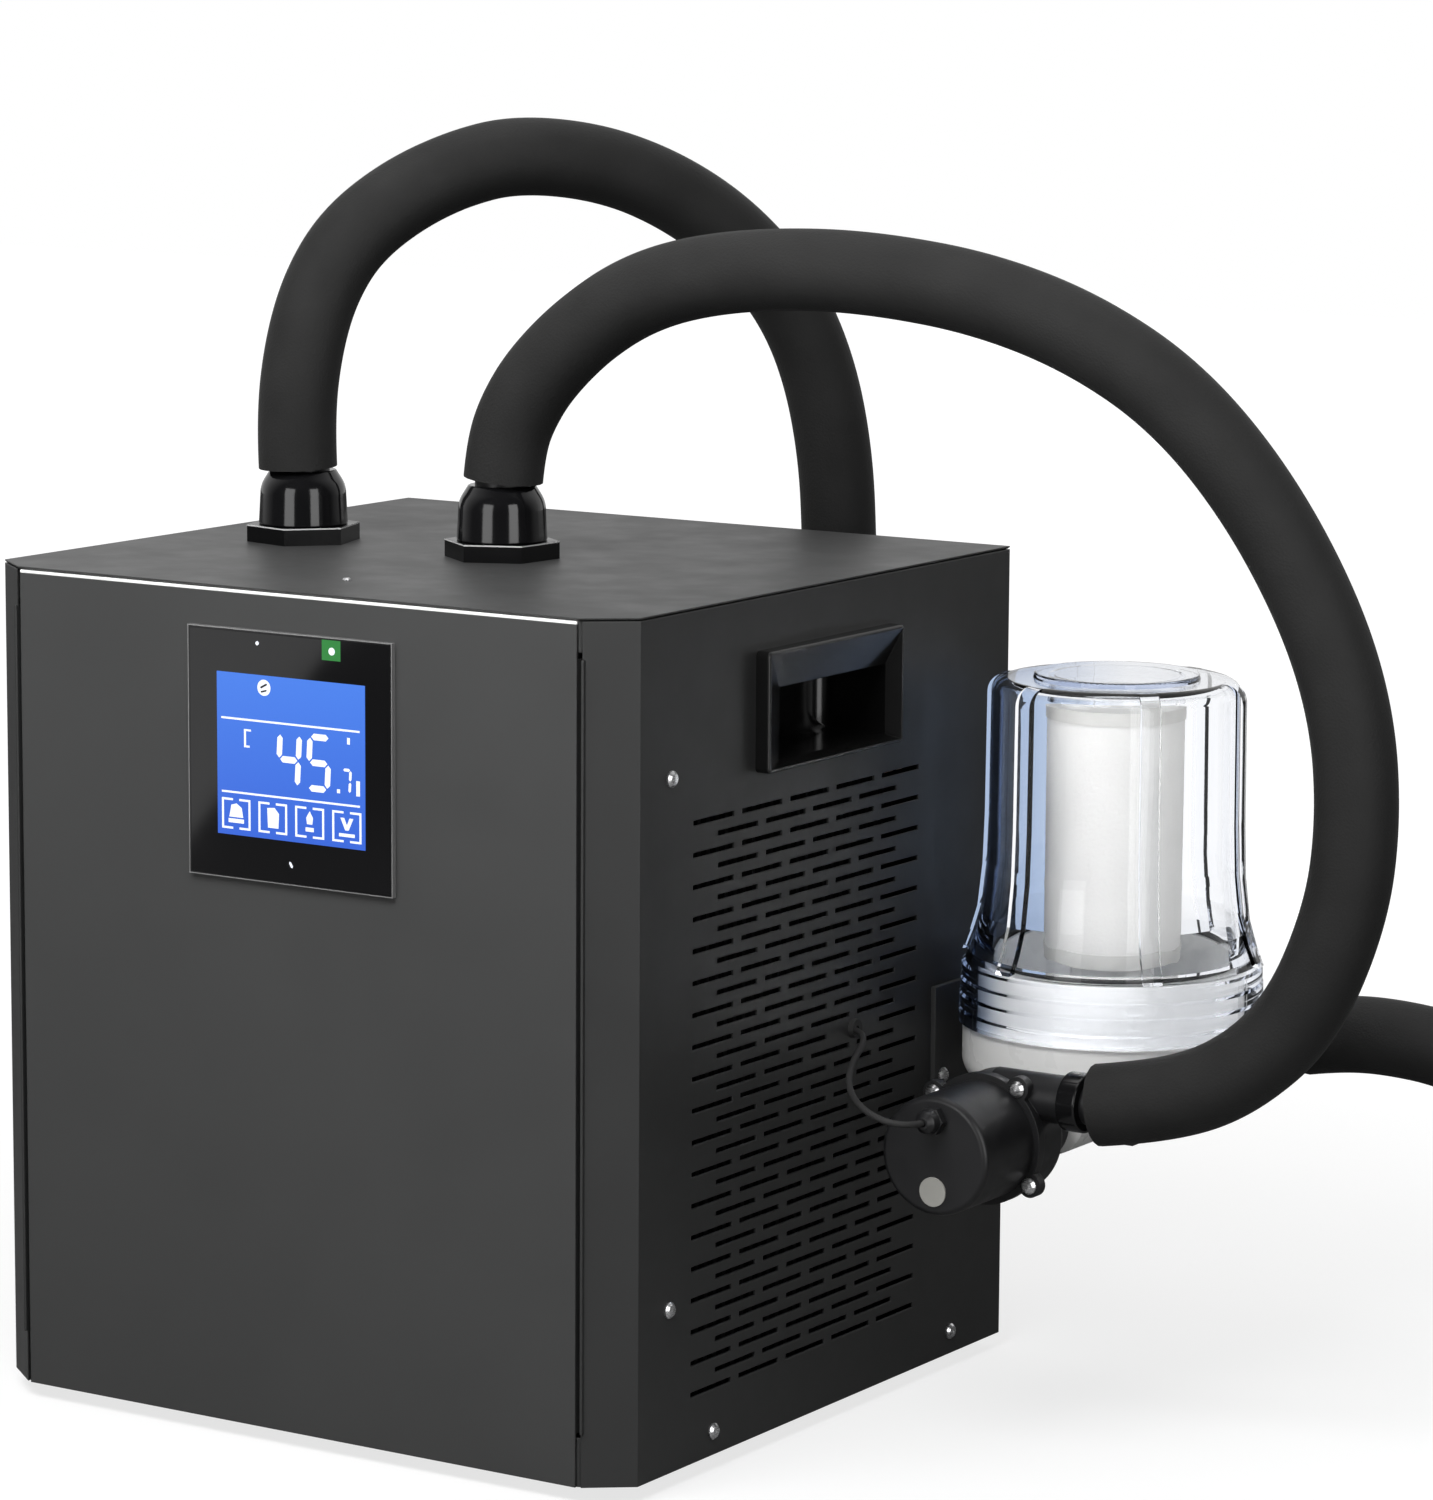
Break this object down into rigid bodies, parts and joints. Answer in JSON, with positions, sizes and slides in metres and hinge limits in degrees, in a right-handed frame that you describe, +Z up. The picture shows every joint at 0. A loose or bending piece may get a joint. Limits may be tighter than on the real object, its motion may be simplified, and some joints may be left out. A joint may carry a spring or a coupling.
{
  "type": "ice bath chiller",
  "caption": "Water chiller for an ice bath: sheet steel cabinet with a touch display, louvred sides, side-mounted pump and clear filter, and foam-covered hoses.",
  "frame": {"origin": "on the floor, under the centre of the cabinet", "axes": "+X to the right seen from the front, -Y out of the front with the controller, +Z up"},
  "size_m": [1.126, 0.4499, 0.586],
  "materials": {
    "cabinet_paint": "satin",
    "gloss_black": "gloss",
    "panel_glass": "gloss",
    "display_blue": "gloss",
    "black_plastic": "satin",
    "hose_foam": "matte",
    "black_rubber": "matte",
    "clear_plastic": "gloss",
    "white_plastic": "gloss",
    "cartridge_white": "matte",
    "grey_plastic": "matte",
    "steel": "satin",
    "copper": "satin",
    "aluminium_fins": "satin",
    "compressor_paint": "satin",
    "brass": "satin",
    "insulation": "matte",
    "fan_plastic": "matte"
  },
  "bodies": {
    "cabinet": {"base_pan": "cabinet_paint", "front_panel": "cabinet_paint", "left_side_panel": "cabinet_paint", "right_side_panel": "cabinet_paint", "rear_panel": "cabinet_paint", "top_cover": "cabinet_paint", "rubber_feet": "black_rubber", "panel_screws": "steel", "left_handle_cup": "gloss_black", "right_handle_cup": "gloss_black", "controller_bezel": "gloss_black", "controller_glass": "panel_glass", "lcd_module": "display_blue", "controller_case": "black_plastic", "power_board_box": "black_plastic", "mains_inlet": "black_plastic", "inlet_pins": "brass", "bulkhead_fittings": "black_plastic", "flange_nuts": "gloss_black", "lock_nuts": "black_plastic", "filter_head": "white_plastic", "filter_cartridge": "cartridge_white", "cartridge_caps": "grey_plastic", "filter_bracket": "cabinet_paint", "pump_motor_case": "black_plastic", "motor_plug_disc": "grey_plastic", "pump_volute": "black_plastic", "pump_screws": "steel", "outlet_collar": "gloss_black", "suction_elbow": "black_plastic", "cable_gland": "black_plastic", "cable_grommet": "black_rubber", "compressor": "compressor_paint", "compressor_mounts": "black_rubber", "condenser_coil": "aluminium_fins", "fan_shroud": "steel", "fan_motor": "steel", "evaporator_tank": "insulation", "water_inlet_pipe": "black_plastic", "water_outlet_pipe": "black_plastic", "discharge_pipe": "copper", "liquid_pipe": "copper", "filter_drier": "copper", "expansion_pipe": "copper", "suction_pipe": "copper", "return_hose": "hose_foam", "return_hose_end": "brass", "feed_hose": "hose_foam", "suction_hose": "hose_foam", "suction_hose_end": "brass", "pump_cable": "black_rubber"},
    "fan": {"fan_rotor": "fan_plastic"},
    "impeller": {"pump_impeller": "black_plastic"},
    "seal_ring": {"bowl_seal": "black_rubber"},
    "bowl": {"filter_bowl": "clear_plastic"},
    "left_nut": {"left_hose_nut": "gloss_black"},
    "right_nut": {"right_hose_nut": "gloss_black"},
    "pump_nut": {"pump_union_nut": "black_plastic"},
    "elbow_nut": {"elbow_union_nut": "black_plastic"}
  },
  "joints": [
    {"name": "fan_spin", "type": "hinge", "parent": "cabinet", "child": "fan", "pos_m": [0.1, -0.012, 0.168], "axis": [1, 0, 0], "continuous": true},
    {"name": "impeller_spin", "type": "hinge", "parent": "cabinet", "child": "impeller", "pos_m": [0.251, 0.015, 0.141], "axis": [0, 1, 0], "continuous": true},
    {"name": "bowl_rise", "type": "slide", "parent": "cabinet", "child": "seal_ring", "axis": [0, 0, 1], "range_m": [0, 0.01]},
    {"name": "bowl_turn", "type": "hinge", "parent": "seal_ring", "child": "bowl", "pos_m": [0.251, 0.133, 0.2], "axis": [0, 0, 1], "range_deg": [0, 900]},
    {"name": "left_nut_turn", "type": "hinge", "parent": "cabinet", "child": "left_nut", "pos_m": [-0.109, -0.01, 0.41], "axis": [0, 0, 1], "range_deg": [0, 720]},
    {"name": "right_nut_turn", "type": "hinge", "parent": "cabinet", "child": "right_nut", "pos_m": [0.0055, -0.01, 0.41], "axis": [0, 0, 1], "range_deg": [0, 720]},
    {"name": "pump_union_turn", "type": "hinge", "parent": "cabinet", "child": "pump_nut", "pos_m": [0.251, 0.052, 0.141], "axis": [0, 1, 0], "range_deg": [0, 720]},
    {"name": "elbow_union_turn", "type": "hinge", "parent": "cabinet", "child": "elbow_nut", "pos_m": [0.251, 0.214, 0.141], "axis": [0, 1, 0], "range_deg": [0, 720]}
  ],
  "couplings": [
    {"joint": "bowl_rise", "follows": "bowl_turn", "m_per_rad": 0.00063662}
  ]
}
